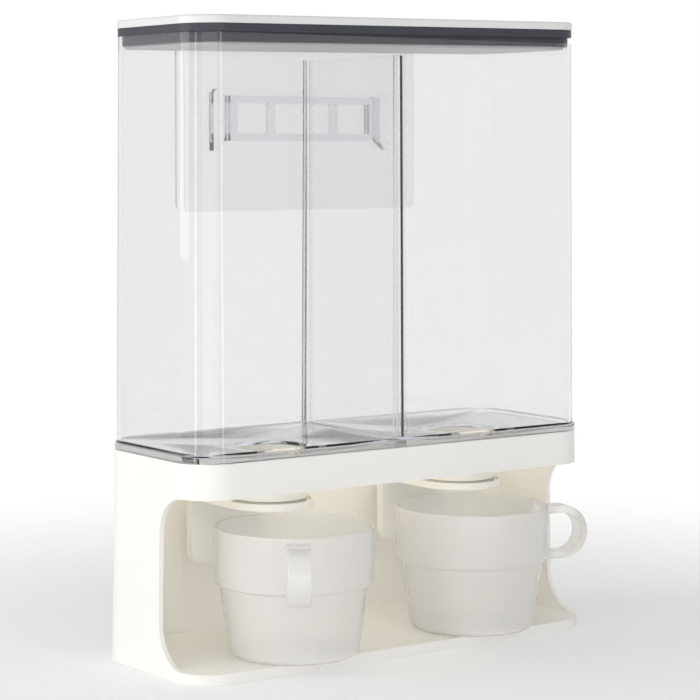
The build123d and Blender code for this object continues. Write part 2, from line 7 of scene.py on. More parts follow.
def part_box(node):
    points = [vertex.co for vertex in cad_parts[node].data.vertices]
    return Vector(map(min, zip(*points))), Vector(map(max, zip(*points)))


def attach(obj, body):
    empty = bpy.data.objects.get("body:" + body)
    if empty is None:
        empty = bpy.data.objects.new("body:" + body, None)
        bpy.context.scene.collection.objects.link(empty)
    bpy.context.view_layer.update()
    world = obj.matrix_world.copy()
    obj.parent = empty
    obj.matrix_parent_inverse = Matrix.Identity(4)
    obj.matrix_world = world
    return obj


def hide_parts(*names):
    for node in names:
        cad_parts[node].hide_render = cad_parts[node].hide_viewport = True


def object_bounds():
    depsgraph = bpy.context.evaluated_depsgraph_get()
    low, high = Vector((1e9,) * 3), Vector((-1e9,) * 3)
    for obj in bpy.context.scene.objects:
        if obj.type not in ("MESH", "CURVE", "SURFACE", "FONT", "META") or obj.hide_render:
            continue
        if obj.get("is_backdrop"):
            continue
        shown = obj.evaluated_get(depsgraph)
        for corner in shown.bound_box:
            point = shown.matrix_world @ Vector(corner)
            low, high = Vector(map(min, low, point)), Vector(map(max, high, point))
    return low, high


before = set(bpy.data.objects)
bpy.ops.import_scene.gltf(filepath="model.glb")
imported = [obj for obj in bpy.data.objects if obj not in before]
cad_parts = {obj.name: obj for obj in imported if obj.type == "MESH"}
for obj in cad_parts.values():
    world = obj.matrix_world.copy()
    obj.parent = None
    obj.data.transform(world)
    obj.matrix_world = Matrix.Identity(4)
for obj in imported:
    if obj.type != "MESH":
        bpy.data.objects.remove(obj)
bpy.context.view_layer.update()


# ================================================================ base housing
# The housing is one injection moulding in white ABS: floor, back, side walls, fascia and deck.
# It comes out of a spark-eroded mould, so it has a fine even grain, soft corners and a satin gloss.

MM = 0.001


def shader_group(name, inputs, outputs):
    """Empty shader node group with named float inputs and outputs of the kinds given."""
    group = bpy.data.node_groups.new(name, "ShaderNodeTree")
    for label, value in inputs.items():
        socket = group.interface.new_socket(label, in_out="INPUT", socket_type="NodeSocketFloat")
        socket.default_value = value
    for label, kind in outputs.items():
        group.interface.new_socket(label, in_out="OUTPUT", socket_type="NodeSocket" + kind)
    return group


def place(tree, kind, **values):
    """Adds a node to a tree. Values named like its sockets go to them, and the rest are settings."""
    node = tree.nodes.new(kind)
    for label, value in values.items():
        socket = node.inputs.get(label.replace("_", " ").title())
        if socket is None:
            setattr(node, label, value)
        elif isinstance(value, bpy.types.NodeSocket):
            tree.links.new(value, socket)
        else:
            socket.default_value = value
    return node


def calculate(tree, operation, first, second=None, third=None):
    """One Math node on sockets or numbers; returns its output."""
    node = tree.nodes.new("ShaderNodeMath")
    node.operation = operation
    for socket, value in zip(node.inputs, (first, second, third)):
        if isinstance(value, bpy.types.NodeSocket):
            tree.links.new(value, socket)
        elif value is not None:
            socket.default_value = value
    return node.outputs[0]


def moulded_grain():
    """Mould texture: a fine grain over a faint waviness, and slow changes of tone and gloss."""
    group = shader_group("moulded_grain", {"Grain Size": 0.6, "Grain Depth": 0.2, "Waviness": 0.1},
                         {"Normal": "Vector", "Tone": "Float", "Gloss": "Float"})
    given = group.nodes.new("NodeGroupInput").outputs
    put_out = group.nodes.new("NodeGroupOutput").inputs
    where = place(group, "ShaderNodeTexCoord").outputs["Object"]
    fineness = calculate(group, "DIVIDE", 1000.0, given["Grain Size"])
    grain = place(group, "ShaderNodeTexNoise", vector=where, scale=fineness, detail=3.0, roughness=0.6)
    wave = place(group, "ShaderNodeTexNoise", vector=where, scale=28.0, detail=1.0)
    tone = place(group, "ShaderNodeTexNoise", vector=where, scale=11.0, detail=2.0)
    gloss = place(group, "ShaderNodeTexNoise", vector=where, scale=75.0, detail=4.0)
    waves = place(group, "ShaderNodeBump", strength=given["Waviness"], distance=0.4 * MM,
                  height=wave.outputs["Fac"])
    bumps = place(group, "ShaderNodeBump", strength=given["Grain Depth"], distance=0.03 * MM,
                  height=grain.outputs["Fac"], normal=waves.outputs["Normal"])
    group.links.new(bumps.outputs["Normal"], put_out["Normal"])
    group.links.new(tone.outputs["Fac"], put_out["Tone"])
    group.links.new(gloss.outputs["Fac"], put_out["Gloss"])
    return group


def edge_rub():
    """Mask of corners that hands and cloths polish: where a rounded normal leaves the true one."""
    group = shader_group("edge_rub", {"Reach": 1.0, "Amount": 1.0}, {"Mask": "Float"})
    given = group.nodes.new("NodeGroupInput").outputs
    put_out = group.nodes.new("NodeGroupOutput").inputs
    reach = calculate(group, "MULTIPLY", given["Reach"], MM)
    soft = place(group, "ShaderNodeBevel", samples=4, radius=reach)
    true = place(group, "ShaderNodeNewGeometry")
    dot = group.nodes.new("ShaderNodeVectorMath")
    dot.operation = "DOT_PRODUCT"
    group.links.new(soft.outputs["Normal"], dot.inputs[0])
    group.links.new(true.outputs["Normal"], dot.inputs[1])
    bent = calculate(group, "SUBTRACT", 1.0, dot.outputs["Value"])
    where = place(group, "ShaderNodeTexCoord").outputs["Object"]
    patchy = place(group, "ShaderNodeTexNoise", vector=where, scale=140.0, detail=4.0)
    mask = calculate(group, "MULTIPLY", calculate(group, "MULTIPLY", bent, 6.0), patchy.outputs["Fac"])
    mask = calculate(group, "MULTIPLY", mask, given["Amount"])
    clamp = place(group, "ShaderNodeClamp", value=mask)
    group.links.new(clamp.outputs[0], put_out["Mask"])
    return group


GRAIN = moulded_grain()
RUB = edge_rub()


def group_node(tree, group, **values):
    """Places a shader group in a material with that material's own values."""
    node = tree.nodes.new("ShaderNodeGroup")
    node.node_tree = group
    for label, value in values.items():
        node.inputs[label.replace("_", " ").title()].default_value = value
    return node.outputs


def blank_material(name):
    """Material with only an output and a Principled shader."""
    material = bpy.data.materials.new(name)
    material.use_nodes = True
    tree = material.node_tree
    tree.nodes.clear()
    out = tree.nodes.new("ShaderNodeOutputMaterial")
    shader = tree.nodes.new("ShaderNodeBsdfPrincipled")
    tree.links.new(shader.outputs[0], out.inputs["Surface"])
    return material, tree, shader


def blend_colour(tree, share, low, high):
    """Colour between two, by a value that changes over the surface."""
    mix = tree.nodes.new("ShaderNodeMix")
    mix.data_type = "RGBA"
    mix.clamp_factor = True
    tree.links.new(share, mix.inputs["Factor"])
    mix.inputs["A"].default_value = (*low, 1.0)
    mix.inputs["B"].default_value = (*high, 1.0)
    return mix.outputs["Result"]


def remap(tree, value, from_min, from_max, to_min=0.0, to_max=1.0, **settings):
    """Map Range node on a value; returns its result."""
    node = place(tree, "ShaderNodeMapRange", value=value, from_min=from_min, from_max=from_max,
                 to_min=to_min, to_max=to_max, **settings)
    return node.outputs["Result"]


def spread(tree, value, low, high):
    """Maps the middle of a noise's range to low and high."""
    return remap(tree, value, 0.3, 0.7, low, high)


def moulded_plastic(name, light, shade, roughness, grain_size, grain_depth):
    """Opaque moulded plastic: tone drifts between two colours, and corners are rubbed glossier."""
    material, tree, shader = blank_material(name)
    grain = group_node(tree, GRAIN, grain_size=grain_size, grain_depth=grain_depth, waviness=0.05)
    rub = group_node(tree, RUB, reach=0.9, amount=0.8)["Mask"]
    tone = blend_colour(tree, spread(tree, grain["Tone"], 0.0, 1.0), light, shade)
    tree.links.new(tone, shader.inputs["Base Color"])
    rough = spread(tree, grain["Gloss"], roughness - 0.03, roughness + 0.04)
    rough = calculate(tree, "SUBTRACT", rough, calculate(tree, "MULTIPLY", rub, 0.14))
    tree.links.new(rough, shader.inputs["Roughness"])
    tree.links.new(grain["Normal"], shader.inputs["Normal"])
    shader.inputs["IOR"].default_value = 1.53
    return material


WHITE_ABS = moulded_plastic("white_abs", (0.925, 0.915, 0.885), (0.91, 0.90, 0.868), 0.36, 0.55, 0.30)


def add_piece(name, mesh, body, material, replaced=()):
    """Puts a finished mesh in the scene, on its body, in place of the CAD nodes it stands for."""
    piece = bpy.data.objects.new(name, mesh)
    bpy.context.scene.collection.objects.link(piece)
    if material:
        mesh.materials.clear()
        mesh.materials.append(material)
    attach(piece, body)
    if replaced:
        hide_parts(*replaced)
    return piece


def settled(piece):
    """Applies a piece's modifiers and returns the plain mesh."""
    bpy.context.view_layer.update()
    graph = bpy.context.evaluated_depsgraph_get()
    mesh = bpy.data.meshes.new_from_object(piece.evaluated_get(graph))
    bpy.data.objects.remove(piece)
    return mesh


def softened(mesh, edge, segments=2, angle=28.0):
    """Rounds a mesh's sharp edges by that radius and evens its shading."""
    piece = bpy.data.objects.new("work", mesh)
    bpy.context.scene.collection.objects.link(piece)
    mesh.shade_smooth()
    bevel = piece.modifiers.new("Corners", "BEVEL")
    bevel.width = edge
    bevel.segments = segments
    bevel.limit_method = "ANGLE"
    bevel.angle_limit = radians(angle)
    bevel.use_clamp_overlap = True
    bevel.miter_outer = "MITER_ARC"
    even = piece.modifiers.new("Shading", "WEIGHTED_NORMAL")
    even.keep_sharp = True
    return settled(piece)


def joined_up(mesh):
    """Merges a mesh's doubled points and its flat neighbouring faces."""
    work = bmesh.new()
    work.from_mesh(mesh)
    bmesh.ops.remove_doubles(work, verts=work.verts, dist=0.001 * MM)
    bmesh.ops.dissolve_limit(work, angle_limit=radians(0.05), verts=work.verts, edges=work.edges)
    work.to_mesh(mesh)
    work.free()
    return mesh


def casting(node, edge, segments=2):
    """Copy of a CAD node's mesh, joined up and with softened corners."""
    return softened(joined_up(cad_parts[node].data.copy()), edge, segments)


add_piece("housing", casting("base_housing", 0.45 * MM), "base", WHITE_ABS, ["base_housing"])


# ================================================================ outlet funnels, seals and screws
# White funnels hang under the deck, each on two self-tapping pan-head screws of bright steel.
# A soft grey ring in each funnel's head seals round the container's collar.

for side in ("left", "right"):
    add_piece("funnel_" + side, casting("outlet_funnel_" + side, 0.3 * MM), "base",
              WHITE_ABS, ["outlet_funnel_" + side])


def soft_rubber(name, light, shade, roughness, bloom):
    """Matt elastomer: fine dust and bloom lighten it in patches, and rubbed edges shine a little."""
    material, tree, shader = blank_material(name)
    grain = group_node(tree, GRAIN, grain_size=0.35, grain_depth=0.5, waviness=0.05)
    rub = group_node(tree, RUB, reach=0.5, amount=1.0)["Mask"]
    where = place(tree, "ShaderNodeTexCoord").outputs["Object"]
    dust = place(tree, "ShaderNodeTexNoise", vector=where, scale=420.0, detail=5.0, roughness=0.7)
    patch = spread(tree, grain["Tone"], 0.0, bloom)
    share = calculate(tree, "MULTIPLY", dust.outputs["Fac"], patch)
    tree.links.new(blend_colour(tree, share, light, shade), shader.inputs["Base Color"])
    rough = spread(tree, grain["Gloss"], roughness - 0.06, roughness + 0.08)
    rough = calculate(tree, "SUBTRACT", rough, calculate(tree, "MULTIPLY", rub, 0.12))
    tree.links.new(rough, shader.inputs["Roughness"])
    tree.links.new(grain["Normal"], shader.inputs["Normal"])
    shader.inputs["IOR"].default_value = 1.41
    return material


def bright_steel(name, streak_axis, roughness):
    """Drawn or turned steel: fine streaks along one axis break up the gloss."""
    material, tree, shader = blank_material(name)
    where = place(tree, "ShaderNodeTexCoord").outputs["Object"]
    stretch = tree.nodes.new("ShaderNodeMapping")
    stretch.inputs["Scale"].default_value = [60.0 if axis == streak_axis else 2600.0 for axis in range(3)]
    tree.links.new(where, stretch.inputs["Vector"])
    streaks = place(tree, "ShaderNodeTexNoise", vector=stretch.outputs["Vector"], scale=1.0, detail=3.0)
    tone = blend_colour(tree, streaks.outputs["Fac"], (0.62, 0.61, 0.60), (0.45, 0.45, 0.455))
    tree.links.new(tone, shader.inputs["Base Color"])
    tree.links.new(spread(tree, streaks.outputs["Fac"], roughness - 0.06, roughness + 0.1),
                   shader.inputs["Roughness"])
    bumps = place(tree, "ShaderNodeBump", strength=0.15, distance=0.01 * MM, height=streaks.outputs["Fac"])
    tree.links.new(bumps.outputs["Normal"], shader.inputs["Normal"])
    shader.inputs["Metallic"].default_value = 1.0
    return material


SEAL_SILICONE = soft_rubber("seal_silicone", (0.50, 0.50, 0.48), (0.60, 0.60, 0.58), 0.55, 0.6)
STEEL = bright_steel("turned_steel", 2, 0.26)
for side in ("left", "right"):
    add_piece("collar_ring_" + side, casting("outlet_seal_" + side, 0.2 * MM), "base",
              SEAL_SILICONE, ["outlet_seal_" + side])


def lathe(outline, turns=48):
    """Mesh turned about Z from a half outline of (radius, height) points that ends on the axis."""
    work = bmesh.new()
    rings = []
    for radius, height in outline:
        if radius < 1e-7:
            rings.append([work.verts.new((0, 0, height))])
            continue
        ring = [work.verts.new((radius * cos(2 * pi * k / turns), radius * sin(2 * pi * k / turns), height))
                for k in range(turns)]
        rings.append(ring)
    for lower, upper in zip(rings, rings[1:]):
        for k in range(turns):
            corners = [lower[k % len(lower)], lower[(k + 1) % len(lower)],
                       upper[(k + 1) % len(upper)], upper[k % len(upper)]]
            corners = [v for n, v in enumerate(corners) if v not in corners[:n]]
            if len(corners) > 2:
                work.faces.new(corners)
    bmesh.ops.recalc_face_normals(work, faces=work.faces)
    mesh = bpy.data.meshes.new("turned")
    work.to_mesh(mesh)
    work.free()
    return mesh


def pattern(name, mesh):
    """Object that a node tree copies about; it never enters the scene."""
    mesh.shade_smooth()
    return bpy.data.objects.new(name, mesh)


def geometry_tree(name, inputs):
    """Empty geometry node tree with named inputs and a geometry output."""
    tree = bpy.data.node_groups.new(name, "GeometryNodeTree")
    for label, (kind, value) in inputs.items():
        socket = tree.interface.new_socket(label, in_out="INPUT", socket_type="NodeSocket" + kind)
        if value is not None:
            socket.default_value = value
    tree.interface.new_socket("Geometry", in_out="OUTPUT", socket_type="NodeSocketGeometry")
    return tree, tree.nodes.new("NodeGroupInput").outputs


def grow(tree, kind, inputs, **settings):
    """Adds a geometry node with its inputs, sockets or constants, by name or number."""
    node = tree.nodes.new(kind)
    for label, value in settings.items():
        setattr(node, label, value)
    for label, value in inputs.items():
        if isinstance(value, bpy.types.NodeSocket):
            tree.links.new(value, node.inputs[label])
        else:
            node.inputs[label].default_value = value
    return node.outputs[0]


def finish_tree(tree, geometry, material, smooth=None):
    """Ends a tree in real geometry with its material."""
    real = grow(tree, "GeometryNodeRealizeInstances", {"Geometry": geometry})
    if smooth is not None:
        real = grow(tree, "GeometryNodeSetShadeSmooth", {"Geometry": real, "Shade Smooth": smooth})
    painted = grow(tree, "GeometryNodeSetMaterial", {"Geometry": real, "Material": material})
    tree.links.new(painted, tree.nodes.new("NodeGroupOutput").inputs[0])


def grown_mesh(tree, **values):
    """Runs a geometry tree with its inputs set and returns the plain mesh."""
    piece = bpy.data.objects.new("work", bpy.data.meshes.new("work"))
    bpy.context.scene.collection.objects.link(piece)
    modifier = piece.modifiers.new("Build", "NODES")
    modifier.node_group = tree
    for item in tree.interface.items_tree:
        label = item.name.lower().replace(" ", "_")
        if item.in_out == "INPUT" and label in values:
            modifier[item.identifier] = values[label]
    return settled(piece)


def along_x(tree, length):
    """Vector of that length along X."""
    return grow(tree, "ShaderNodeCombineXYZ", {"X": length})


screw_low, screw_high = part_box("funnel_screws")
funnel_low, funnel_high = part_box("outlet_funnel_right")
head_radius = (screw_high[1] - screw_low[1]) / 2
bay = (funnel_low[0] + funnel_high[0]) / 2
ear_reach = screw_high[0] - head_radius - bay
head_height = 1.9 * MM
shank_radius = 1.32 * MM
outline = [(0.0, 0.95 * MM), (0.55 * MM, 0.95 * MM), (0.62 * MM, 0.12 * MM), (1.5 * MM, 0.05 * MM),
           (2.15 * MM, 0.35 * MM), (2.55 * MM, 0.85 * MM), (head_radius, 1.5 * MM),
           (head_radius - 0.1 * MM, head_height), (shank_radius, head_height)]
for turn in range(7):
    foot = head_height + (0.6 + turn) * MM
    outline += [(0.98 * MM, foot), (1.38 * MM, foot + 0.3 * MM), (0.98 * MM, foot + 0.6 * MM)]
outline += [(0.5 * MM, screw_high[2] - screw_low[2] - 0.3 * MM), (0.0, screw_high[2] - screw_low[2])]
screw_mesh = lathe(outline, 32)
slot_half_width = 0.35 * MM
slot_depth = 0.75 * MM
for vertex in screw_mesh.vertices:
    spoke = max(abs(vertex.co.x), abs(vertex.co.y))
    narrow = min(abs(vertex.co.x), abs(vertex.co.y))
    if vertex.co.z < 0.4 * MM and narrow < slot_half_width and spoke > 1e-6:
        vertex.co.z += slot_depth

tree, given = geometry_tree("funnel_screw_rows", {
    "Bay Spacing": ("Float", 0.132), "Ear Spacing": ("Float", 0.062),
    "Screw": ("Object", None), "Metal": ("Material", None)})
bays = grow(tree, "GeometryNodeMeshLine", {"Count": 2, "Offset": along_x(tree, given["Bay Spacing"])})
ears = grow(tree, "GeometryNodeMeshLine", {"Count": 2, "Offset": along_x(tree, given["Ear Spacing"])})
rows = grow(tree, "GeometryNodeInstanceOnPoints", {"Points": bays, "Instance": ears})
rows = grow(tree, "GeometryNodeRealizeInstances", {"Geometry": rows})
info = tree.nodes.new("GeometryNodeObjectInfo")
tree.links.new(given["Screw"], info.inputs["Object"])
screws = grow(tree, "GeometryNodeInstanceOnPoints", {"Points": rows, "Instance": info.outputs["Geometry"]})
finish_tree(tree, screws, given["Metal"])
screws = grown_mesh(tree, bay_spacing=2 * bay, ear_spacing=2 * ear_reach,
                    screw=pattern("pan_head_screw", screw_mesh), metal=STEEL)
screws.transform(Matrix.Translation((-bay - ear_reach, (screw_low[1] + screw_high[1]) / 2, screw_low[2])))
add_piece("screws_under_funnels", screws, "base", None, ["funnel_screws"])


# ================================================================ push levers, pins and springs
# Each lever is one white moulding: a paddle that the cup pushes, a flap and a barrel on the pin.
# The flap carries a soft grey disc. Pins, clips and return springs are bright steel.

SPRING_STEEL = bright_steel("drawn_spring_wire", 0, 0.22)
tree, given = geometry_tree("return_spring", {
    "Wire Radius": ("Float", 0.0004), "Coil Radius": ("Float", 0.0052), "Turns": ("Float", 6.0),
    "Coil Length": ("Float", 0.0084), "Lower Leg": ("Float", 0.017), "Upper Leg": ("Float", 0.0179),
    "Lean": ("Float", 0.0), "Metal": ("Material", None)})


def times(tree, first, second):
    """Product of two sockets or numbers in a geometry tree."""
    node = tree.nodes.new("ShaderNodeMath")
    node.operation = "MULTIPLY"
    for socket, value in zip(node.inputs, (first, second)):
        if isinstance(value, bpy.types.NodeSocket):
            tree.links.new(value, socket)
        else:
            socket.default_value = value
    return node.outputs[0]


def added(tree, first, second):
    """Sum of two sockets in a geometry tree."""
    node = tree.nodes.new("ShaderNodeMath")
    tree.links.new(first, node.inputs[0])
    tree.links.new(second, node.inputs[1])
    return node.outputs[0]


coil = grow(tree, "GeometryNodeCurveSpiral", {
    "Resolution": 40, "Rotations": given["Turns"], "Start Radius": given["Coil Radius"],
    "End Radius": given["Coil Radius"], "Height": given["Coil Length"]})
start = grow(tree, "ShaderNodeCombineXYZ", {"X": given["Coil Radius"]})
end = grow(tree, "ShaderNodeCombineXYZ", {"X": given["Coil Radius"], "Z": given["Coil Length"]})
low_drop = times(tree, given["Lower Leg"], -1.0)
low_end = grow(tree, "ShaderNodeCombineXYZ", {
    "X": given["Coil Radius"], "Y": low_drop, "Z": times(tree, low_drop, given["Lean"])})
high_end = grow(tree, "ShaderNodeCombineXYZ", {
    "X": given["Coil Radius"], "Y": given["Upper Leg"],
    "Z": added(tree, given["Coil Length"], times(tree, given["Upper Leg"], given["Lean"]))})
legs = [grow(tree, "GeometryNodeCurvePrimitiveLine", {"Start": low_end, "End": start}),
        grow(tree, "GeometryNodeCurvePrimitiveLine", {"Start": end, "End": high_end})]
join = tree.nodes.new("GeometryNodeJoinGeometry")
for line in (coil, *legs):
    tree.links.new(line, join.inputs[0])
section = grow(tree, "GeometryNodeCurvePrimitiveCircle", {"Resolution": 12, "Radius": given["Wire Radius"]})
wire = grow(tree, "GeometryNodeCurveToMesh", {
    "Curve": join.outputs[0], "Profile Curve": section, "Fill Caps": True})
finish_tree(tree, wire, given["Metal"], smooth=True)

coil_radius = 5.2 * MM
coil_length = 8.4 * MM
coil_turns = 6
for side in ("left", "right"):
    lever = "lever_" + side
    add_piece("push_" + lever, casting("push_lever_" + side, 0.35 * MM), lever, WHITE_ABS,
              ["push_lever_" + side])
    add_piece("gate_disc_" + side, casting("gate_seal_" + side, 0.35 * MM), lever,
              SEAL_SILICONE, ["gate_seal_" + side])
    add_piece("steel_pin_" + side, casting("pivot_pin_" + side, 0.25 * MM), "base", SPRING_STEEL,
              ["pivot_pin_" + side])
    low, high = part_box("torsion_spring_" + side)
    pin_low, pin_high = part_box("pivot_pin_" + side)
    pin_z = (pin_low[2] + pin_high[2]) / 2
    pin_y = (pin_low[1] + pin_high[1]) / 2
    lean = coil_length / coil_turns / (2 * pi * coil_radius)
    spring = grown_mesh(tree, coil_radius=coil_radius, coil_length=coil_length, turns=float(coil_turns),
                        lean=lean, upper_leg=high[2] - pin_z, lower_leg=pin_z - low[2] - 0.02 * MM,
                        metal=SPRING_STEEL)
    middle = -bay if side == "left" else bay
    spring.transform(Matrix(((0, 0, 1, middle - coil_length / 2), (1, 0, 0, pin_y), (0, 1, 0, pin_z),
                             (0, 0, 0, 1))))
    add_piece("return_spring_" + side, spring, "base", None, ["torsion_spring_" + side])
add_piece("push_on_clips", casting("pin_clips", 0.12 * MM), "base", STEEL, ["pin_clips"])


# ================================================================ feet and wall buffers
# Four grey rubber pads are pressed into bosses under the base, with grip rings on their soles.
# Two rubber buttons low on the back hold the base off the wall.

PAD_RUBBER = soft_rubber("pad_rubber", (0.05, 0.05, 0.052), (0.16, 0.16, 0.16), 0.62, 0.7)
pad_low, pad_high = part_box("foot_pads")
pad_radius = 6.0 * MM
outline = [(0.0, 0.15 * MM)]
for ring in range(1, 5):
    middle = ring * 1.2 * MM
    outline += [(middle - 0.35 * MM, 0.15 * MM), (middle - 0.2 * MM, 0.0), (middle + 0.2 * MM, 0.0),
                (middle + 0.35 * MM, 0.15 * MM)]
outline += [(pad_radius - 0.4 * MM, 0.1 * MM), (pad_radius - 0.05 * MM, 0.5 * MM),
            (pad_radius - 0.05 * MM, pad_high[2]), (0.0, pad_high[2])]
tree, given = geometry_tree("four_feet", {
    "Spacing X": ("Float", 0.2), "Spacing Y": ("Float", 0.05), "Pad": ("Object", None),
    "Rubber": ("Material", None)})
corners = grow(tree, "GeometryNodeMeshGrid", {
    "Size X": given["Spacing X"], "Size Y": given["Spacing Y"], "Vertices X": 2, "Vertices Y": 2})
info = tree.nodes.new("GeometryNodeObjectInfo")
tree.links.new(given["Pad"], info.inputs["Object"])
feet = grow(tree, "GeometryNodeInstanceOnPoints", {"Points": corners, "Instance": info.outputs["Geometry"]})
finish_tree(tree, feet, given["Rubber"])
feet = grown_mesh(tree, spacing_x=pad_high[0] - pad_low[0] - 2 * pad_radius,
                  spacing_y=pad_high[1] - pad_low[1] - 2 * pad_radius,
                  pad=pattern("rubber_foot", lathe(outline, 40)), rubber=PAD_RUBBER)
add_piece("rubber_feet", feet, "base", None, ["foot_pads"])
add_piece("wall_buttons", casting("wall_buffers", 0.6 * MM, 3), "base", PAD_RUBBER,
          ["wall_buffers"])


# ================================================================ container and divider
# The container is one clear moulding with a flange, a sloping floor, collars and hanger rails.
# The divider is a flat clear panel in grooves. Thick edges look lilac grey, as clear resin does.

def scuffs():
    """Hairline scratches from cloths and cereal: thin lines in two directions, dense in patches."""
    group = shader_group("scuffs", {"Scratch Size": 1.0, "Amount": 1.0},
                         {"Mask": "Float", "Haze": "Float"})
    given = group.nodes.new("NodeGroupInput").outputs
    put_out = group.nodes.new("NodeGroupOutput").inputs
    where = place(group, "ShaderNodeTexCoord").outputs["Object"]
    masks = []
    for turn, scale in ((0.5, (30.0, 900.0, 700.0)), (-0.9, (800.0, 40.0, 650.0))):
        turned = group.nodes.new("ShaderNodeMapping")
        turned.inputs["Rotation"].default_value = (turn, turn * 0.7, turn * 1.3)
        turned.inputs["Scale"].default_value = scale
        group.links.new(where, turned.inputs["Vector"])
        size = calculate(group, "DIVIDE", 1.0, given["Scratch Size"])
        lines = place(group, "ShaderNodeTexNoise", vector=turned.outputs["Vector"], scale=size, detail=2.0)
        masks.append(remap(group, lines.outputs["Fac"], 0.64, 0.72))
    both = calculate(group, "MAXIMUM", masks[0], masks[1])
    patch = place(group, "ShaderNodeTexNoise", vector=where, scale=22.0, detail=3.0)
    mask = calculate(group, "MULTIPLY", both, calculate(group, "MULTIPLY", patch.outputs["Fac"],
                                                        given["Amount"]))
    group.links.new(mask, put_out["Mask"])
    group.links.new(patch.outputs["Fac"], put_out["Haze"])
    return group


SCUFFS = scuffs()


def clear_resin(name, light, shade, roughness, wear, bend, density=0.0, depth_colour=(1, 1, 1)):
    """Clear plastic with faint flow waves and scratches; a density tints the depth that light crosses."""
    material, tree, shader = blank_material(name)
    grain = group_node(tree, GRAIN, grain_size=6.0, grain_depth=0.04, waviness=0.05)
    worn = group_node(tree, SCUFFS, scratch_size=1.0, amount=wear)
    tree.links.new(blend_colour(tree, grain["Tone"], light, shade), shader.inputs["Base Color"])
    haze = spread(tree, worn["Haze"], roughness * 0.5, roughness * 1.5)
    scratched = calculate(tree, "MULTIPLY_ADD", worn["Mask"], 0.25, haze)
    tree.links.new(scratched, shader.inputs["Roughness"])
    tree.links.new(grain["Normal"], shader.inputs["Normal"])
    path = tree.nodes.new("ShaderNodeLightPath")
    lamp_ray = calculate(tree, "MAXIMUM", path.outputs["Is Shadow Ray"], path.outputs["Is Diffuse Ray"])
    solid = calculate(tree, "MULTIPLY_ADD", lamp_ray, -0.88, 1.0)
    tree.links.new(solid, shader.inputs["Alpha"])
    shader.inputs["Transmission Weight"].default_value = 1.0
    shader.inputs["IOR"].default_value = bend
    if density:
        depth = tree.nodes.new("ShaderNodeVolumeAbsorption")
        depth.inputs["Color"].default_value = (*depth_colour, 1.0)
        depth.inputs["Density"].default_value = density
        tree.links.new(depth.outputs[0], tree.nodes["Material Output"].inputs["Volume"])
    return material


CLEAR = clear_resin("clear_resin", (0.925, 0.925, 0.92), (0.915, 0.915, 0.912), 0.03, 0.25, 1.42,
                    9.0, (0.55, 0.55, 0.68))
PANEL = clear_resin("panel_resin", (0.97, 0.97, 0.97), (0.96, 0.96, 0.96), 0.03, 0.2, 1.35,
                    16.0, (0.55, 0.55, 0.72))


def joined(first, second, operation):
    """Boolean of two closed meshes."""
    pieces = []
    for mesh in (first, second):
        piece = bpy.data.objects.new("work", mesh)
        bpy.context.scene.collection.objects.link(piece)
        pieces.append(piece)
    cut = pieces[0].modifiers.new("Join", "BOOLEAN")
    cut.operation = operation
    cut.solver = "EXACT"
    cut.object = pieces[1]
    mesh = settled(pieces[0])
    bpy.data.objects.remove(pieces[1])
    return mesh


def eased(node, edge):
    """Softened copy of a CAD node, a hair smaller, so that clear pieces that touch keep air between."""
    mesh = joined_up(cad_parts[node].data.copy())
    for vertex, normal in zip(mesh.vertices, [vertex.normal.copy() for vertex in mesh.vertices]):
        vertex.co -= normal * 0.07 * MM
    return softened(mesh, edge)


def welded_frame():
    """Hanger frame with its front sunk into the container's wall, so that the two can be made one."""
    mesh = joined_up(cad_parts["hanger_frame"].data.copy())
    wall_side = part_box("hanger_frame")[0][1] + 1.0 * MM
    for vertex in mesh.vertices:
        if vertex.co.y < wall_side:
            vertex.co.y -= 0.9 * MM
    return mesh


shell = joined(joined_up(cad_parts["container_shell"].data.copy()), welded_frame(), "UNION")
add_piece("clear_container", softened(joined_up(shell), 0.35 * MM), "container", CLEAR,
          ["container_shell", "hanger_frame"])
add_piece("middle_divider", eased("divider_panel", 0.2 * MM), "container", PANEL,
          ["divider_panel"])


# ================================================================ lid
# White cap with a skirt, a slate silicone ring stretched over the skirt, and a pale liner plate.
# The ring's flange lies on the container's rim, and two thin lips stand out from its plug.
# The lid sits a little askew, tipped about the left end of the rim.

LID_WHITE = moulded_plastic("lid_white", (0.77, 0.77, 0.78), (0.74, 0.74, 0.752), 0.30, 0.5, 0.2)
add_piece("lid_top", casting("lid_cap", 0.4 * MM), "lid", LID_WHITE, ["lid_cap"])
LINER = moulded_plastic("liner_plastic", (0.53, 0.52, 0.53), (0.49, 0.485, 0.50), 0.42, 0.5, 0.2)
add_piece("liner_plate", casting("lid_liner", 0.3 * MM), "lid", LINER, ["lid_liner"])

SILICONE = soft_rubber("slate_silicone", (0.036, 0.041, 0.054), (0.068, 0.073, 0.085), 0.38, 0.5)
container_low, container_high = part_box("container_shell")
rim = container_high[2]
rim_inset = 3.0 * MM
flange_depth = 100 * MM
corner_radius = 19 * MM
lid_tilt = radians(0.8)
profile_points = [(-4.3, 4.4), (-0.05, 4.4), (0.2, 4.15), (0.2, 2.45), (0.08, 2.3), (0.2, 2.15), (0.2, 0.5),
                  (0.02, 0.1), (-0.35, 0.0), (-2.1, 0.0), (-2.1, -0.9), (-1.87, -1.35), (-1.9, -1.6),
                  (-2.1, -1.85), (-2.1, -2.9), (-1.87, -3.4), (-1.9, -3.65), (-2.1, -3.9), (-2.14, -5.05),
                  (-2.4, -5.3), (-4.0, -5.3), (-4.3, -5.0)]
profile_data = bpy.data.curves.new("ring_section", "CURVE")
profile_data.dimensions = "3D"
spline = profile_data.splines.new("POLY")
spline.points.add(len(profile_points) - 1)
for point, (out, up) in zip(spline.points, profile_points):
    point.co = (out * MM, -up * MM, 0.0, 1.0)    # the sweep turns the section's Y downward
spline.use_cyclic_u = True
